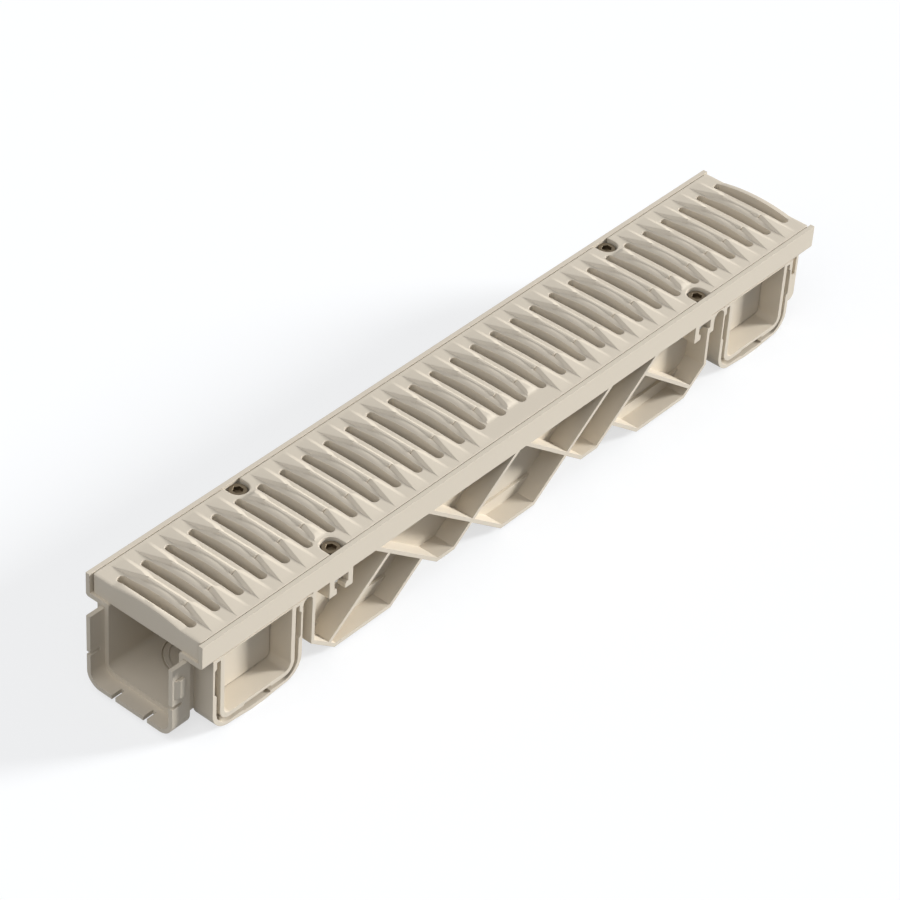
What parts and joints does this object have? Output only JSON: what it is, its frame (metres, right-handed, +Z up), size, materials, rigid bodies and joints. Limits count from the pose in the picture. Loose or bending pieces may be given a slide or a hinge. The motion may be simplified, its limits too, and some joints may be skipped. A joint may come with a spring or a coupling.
{
  "type": "channel drain",
  "caption": "Linear drainage channel with a U-shaped trough, strip lattice sides, side ports, a snap collar end and a bolted slotted grate.",
  "frame": {"origin": "bottom centre of the whole part's bounding box, on the plane that its port feet stand on", "axes": "+X along the channel from the collar end to the spigot end, +Y across it towards the back, +Z up towards the grate"},
  "size_m": [1.02, 0.16, 0.1333],
  "materials": {
    "channel_plastic": "matte moulded polypropylene, sand beige",
    "grate_plastic": "matte moulded polyamide, sand beige",
    "screw_steel": "dark satin steel",
    "nut_steel": "satin zinc steel"
  },
  "bodies": {
    "root": {"channel_body": "channel_plastic", "grate": "grate_plastic", "screw_front_left": "screw_steel", "screw_front_right": "screw_steel", "screw_back_left": "screw_steel", "screw_back_right": "screw_steel", "nut_front_left": "nut_steel", "nut_front_right": "nut_steel", "nut_back_left": "nut_steel", "nut_back_right": "nut_steel"}
  },
  "joints": []
}
